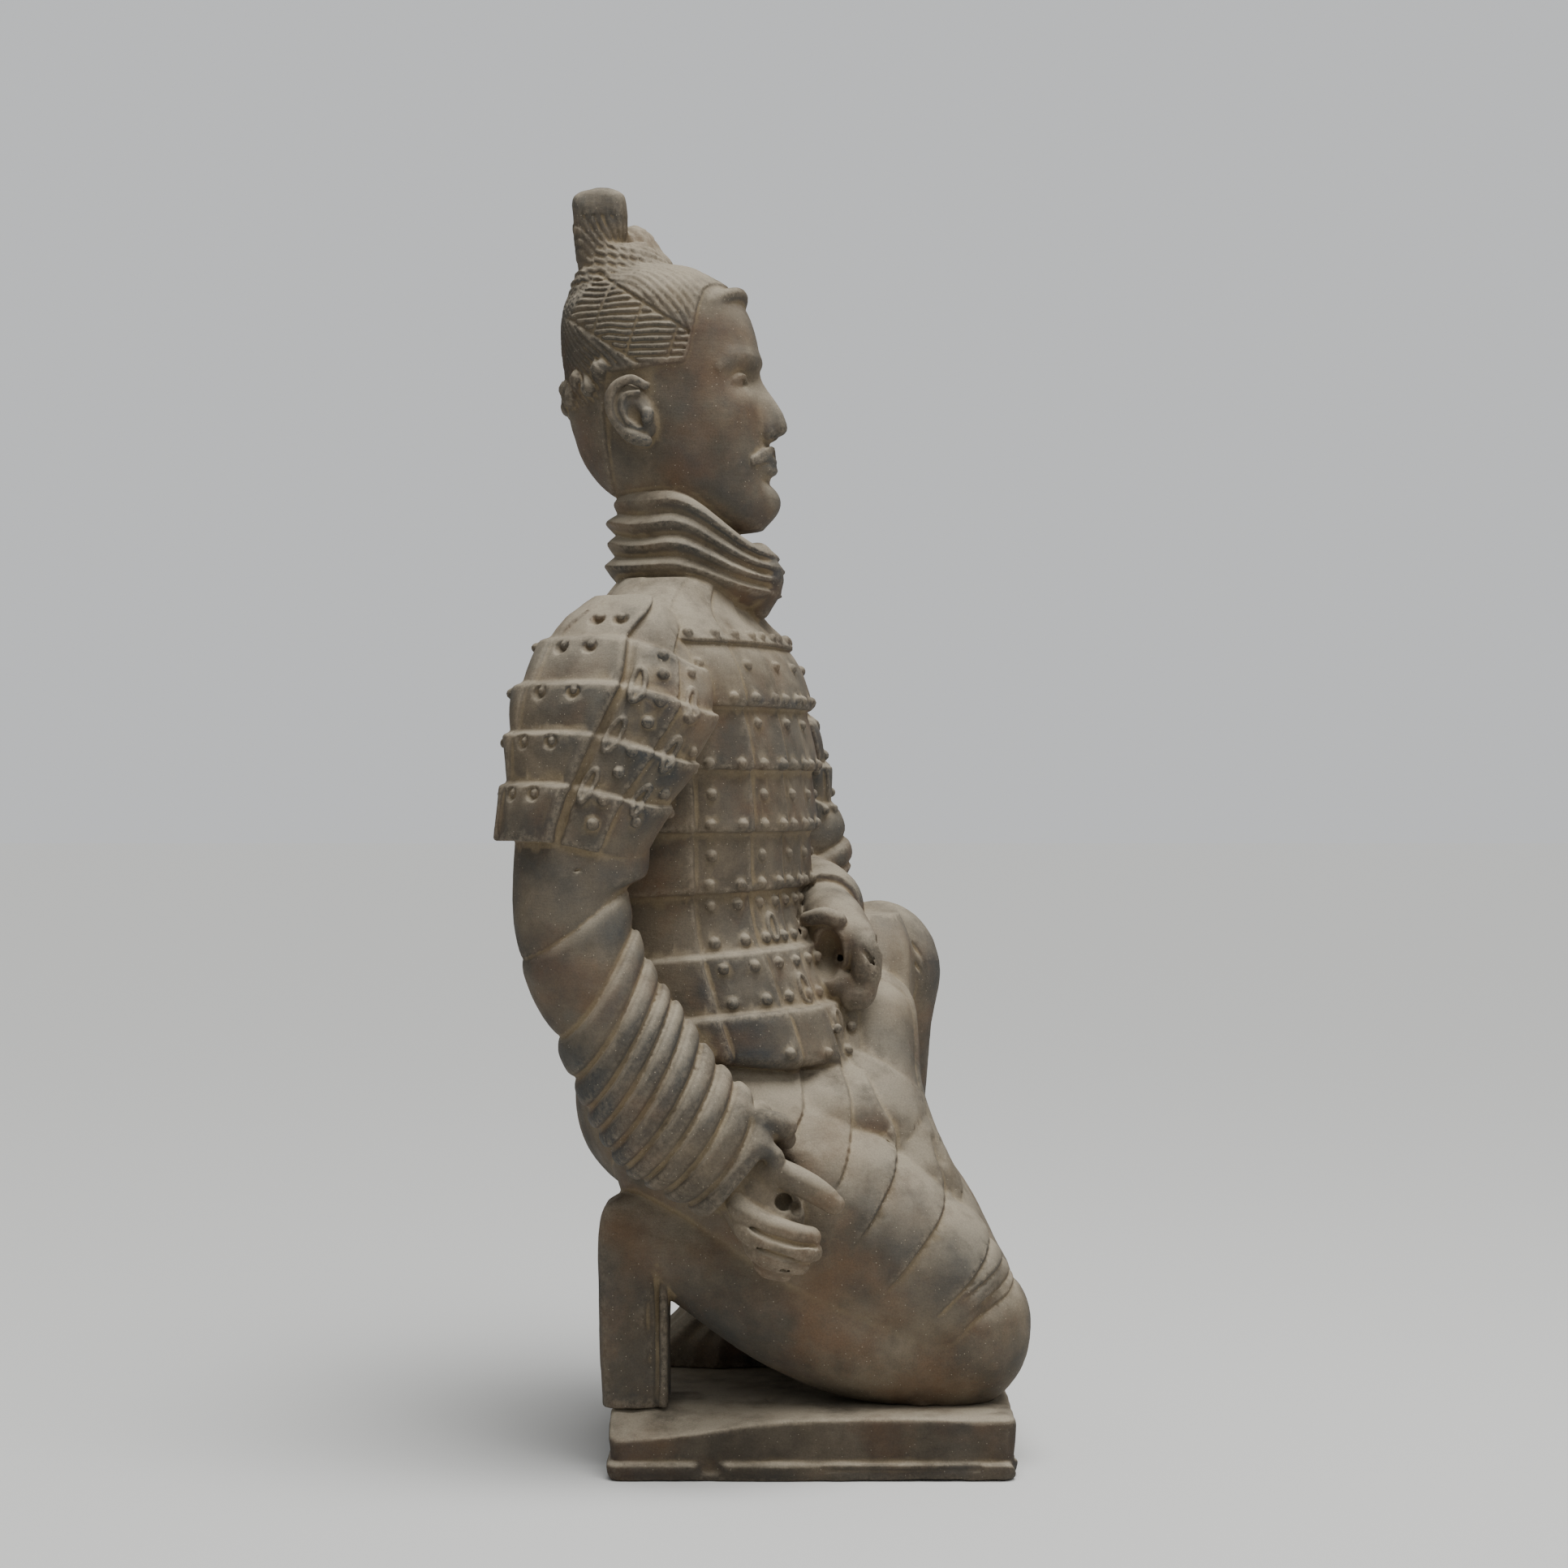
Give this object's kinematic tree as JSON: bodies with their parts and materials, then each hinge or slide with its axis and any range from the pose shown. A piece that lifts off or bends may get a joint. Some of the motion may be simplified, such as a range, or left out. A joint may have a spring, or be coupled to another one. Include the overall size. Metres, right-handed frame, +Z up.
{
  "type": "terracotta warrior statue",
  "caption": "Kneeling archer in plate armour, modelled and fired in clay, on a slab plinth; a standing sculpture for a room, garden or display",
  "frame": {"origin": "centre of the plinth's underside, on the surface that the statue stands on", "axes": "+Z up; +X the way the figure's knees and the plinth's front point; +Y the figure's left, where the raised knee is"},
  "size_m": [0.4838, 0.5153, 1.2],
  "materials": {
    "figure_clay": "matte unglazed fired terracotta, smoke-darkened, with pale dust in the creases",
    "plinth_clay": "matte unglazed fired terracotta, dusty on top"
  },
  "bodies": {
    "root": {"kneeling_warrior": "figure_clay", "plinth": "plinth_clay"}
  },
  "joints": []
}
